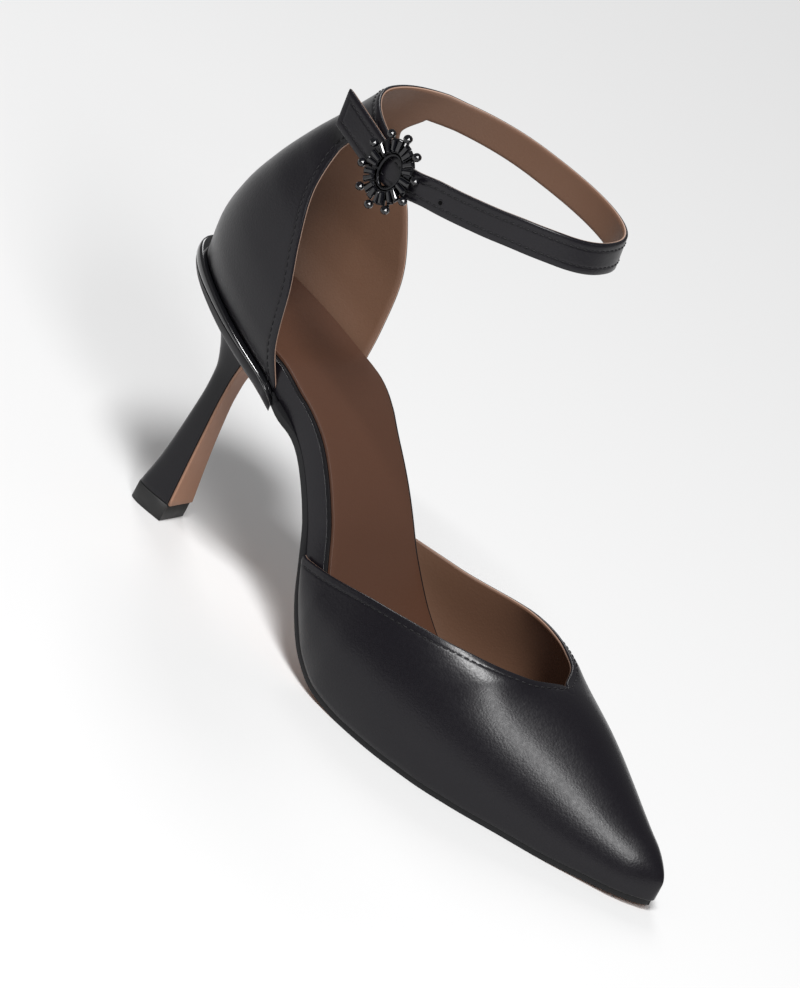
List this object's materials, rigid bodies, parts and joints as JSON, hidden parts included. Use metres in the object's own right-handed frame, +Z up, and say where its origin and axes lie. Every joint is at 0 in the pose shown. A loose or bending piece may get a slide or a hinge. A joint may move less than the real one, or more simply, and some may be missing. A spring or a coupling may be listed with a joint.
{
  "type": "ankle strap pump",
  "caption": "Pointed-toe pump with a high flared heel, open sides, a closed counter and an ankle strap with a jewelled oval buckle.",
  "frame": {"origin": "on the floor, under the middle of the bounding box", "axes": "+X runs from the heel to the toe, +Z is up, -Y is the lateral (outer) side of this right shoe"},
  "size_m": [0.2382, 0.0732, 0.1655],
  "materials": {
    "upper_leather": "satin",
    "sock_leather": "satin",
    "outsole_leather": "matte",
    "gloss_trim": "gloss",
    "heel_cover": "satin",
    "top_piece_rubber": "matte",
    "buckle_metal": "polished",
    "stone": "polished"
  },
  "bodies": {
    "root": {"outsole": "outsole_leather", "insole_board": "upper_leather", "sock_lining": "sock_leather", "vamp": "upper_leather", "counter": "upper_leather", "ankle_strap": "upper_leather", "seat_plate": "gloss_trim", "heel": "heel_cover", "breast_cover": "outsole_leather", "top_piece": "top_piece_rubber", "buckle": "buckle_metal", "stone_pair_1": "stone", "stone_pair_2": "stone", "stone_pair_3": "stone", "stone_pair_4": "stone", "stone_pair_5": "stone", "stone_pair_6": "stone", "stone_pair_7": "stone", "stone_pair_8": "stone", "stone_pair_9": "stone", "stone_pair_10": "stone"}
  },
  "joints": []
}
